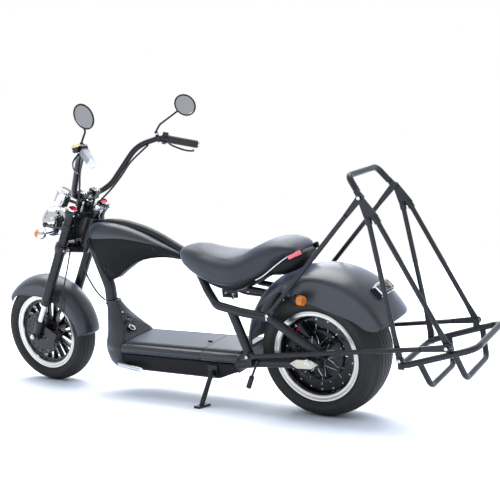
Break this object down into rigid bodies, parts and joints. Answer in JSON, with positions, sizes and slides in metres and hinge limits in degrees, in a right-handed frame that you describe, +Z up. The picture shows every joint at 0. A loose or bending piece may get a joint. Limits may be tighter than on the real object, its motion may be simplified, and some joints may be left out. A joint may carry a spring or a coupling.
{
  "type": "golf scooter",
  "caption": "Long step-through electric golf scooter leaning on its side stand, with a wide deck, high handlebar, one seat and a tubular carrier behind.",
  "frame": {"origin": "middle of the bounding box on the ground, under the scooter as it leans on its side stand", "axes": "+X forward, +Y to the rider's left, the side it leans to, +Z up"},
  "size_m": [2.2206, 0.7605, 1.2469],
  "materials": {
    "alloy": "machined",
    "amber_lens": "amber lens",
    "black_frame": "satin black powder coat",
    "black_paint": "satin black paint",
    "black_plastic": "fine grained black",
    "champagne": "satin",
    "chrome": "polished",
    "gloss_black": "gloss black",
    "grey_black_paint": "satin dark grey paint",
    "grip_rubber": "silver grey grip",
    "red_anodised": "red anodised",
    "rubber": "black rubber",
    "seat_cover": "soft black cover",
    "steel": "brushed",
    "tyre": "black rubber"
  },
  "bodies": {
    "chassis": {"spine_tube": "black_frame", "down_tube": "black_frame", "seat_rails": "black_frame", "seat_struts": "black_frame", "lower_tubes": "black_frame", "rear_plate": "black_frame", "tank_cover": "black_paint", "deck_tub": "black_plastic", "battery": "grey_black_paint", "deck_tail": "black_plastic", "deck_nose": "black_paint", "seat": "seat_cover", "seat_pan": "black_plastic", "rear_fender": "black_paint", "fender_bar": "black_frame", "tail_light": "chrome", "rear_indicators": "amber_lens", "axle_covers": "champagne", "rear_axle": "steel", "rear_caliper": "gloss_black", "foot_pegs": "chrome", "drop_pegs": "rubber", "stand_bracket": "black_frame", "locks": "chrome", "frame_hose": "rubber", "rack_loop": "black_frame", "rack_hoops": "black_frame", "rack_legs": "black_frame", "rack_fittings": "black_frame", "rack_handle": "black_frame", "rack_stays": "black_frame"},
    "front_fork": {"steering_stem": "steel", "fork_clamps": "gloss_black", "fork_tubes": "gloss_black", "stanchions": "chrome", "fork_feet": "gloss_black", "fork_caps": "red_anodised", "front_axle": "chrome", "front_caliper": "gloss_black", "front_fender": "black_paint", "risers": "gloss_black", "handlebar": "gloss_black", "grips": "grip_rubber", "lever_sets": "gloss_black", "mirrors": "gloss_black", "headlight": "chrome", "lamp_brackets": "gloss_black", "speedometer": "chrome", "front_indicators": "chrome", "bar_cables": "rubber"},
    "front_wheel": {"front_tyre": "tyre", "front_rim": "alloy", "front_spokes": "gloss_black", "front_disc": "gloss_black"},
    "rear_wheel": {"rear_tyre": "tyre", "rear_rim": "alloy", "hub_motor": "gloss_black", "rear_disc": "steel"},
    "deck_lid": {"deck_lid": "black_paint"},
    "side_stand": {"side_stand": "chrome"}
  },
  "joints": [
    {"name": "steering", "type": "hinge", "parent": "chassis", "child": "front_fork", "pos_m": [0.59609, -0.07631, 0.63296], "axis": [-0.4909, 0.1632, 0.8558], "range_deg": [-36, 36]},
    {"name": "front_wheel_spin", "type": "hinge", "parent": "front_fork", "child": "front_wheel", "pos_m": [0.88075, -0.15379, 0.22676], "axis": [0, 0.9823, -0.1874], "continuous": true},
    {"name": "rear_wheel_spin", "type": "hinge", "parent": "chassis", "child": "rear_wheel", "pos_m": [-0.49925, -0.15158, 0.23835], "axis": [0, 0.9823, -0.1874], "continuous": true},
    {"name": "deck_lid_hinge", "type": "hinge", "parent": "chassis", "child": "deck_lid", "pos_m": [0.37075, -0.1543, 0.22411], "axis": [0, 0.9823, -0.1874], "range_deg": [0, 50]},
    {"name": "side_stand_pivot", "type": "hinge", "parent": "chassis", "child": "side_stand", "pos_m": [-0.05925, -0.04393, 0.11957], "axis": [0, 0.9771, 0.2127], "range_deg": [0, 92]}
  ]
}
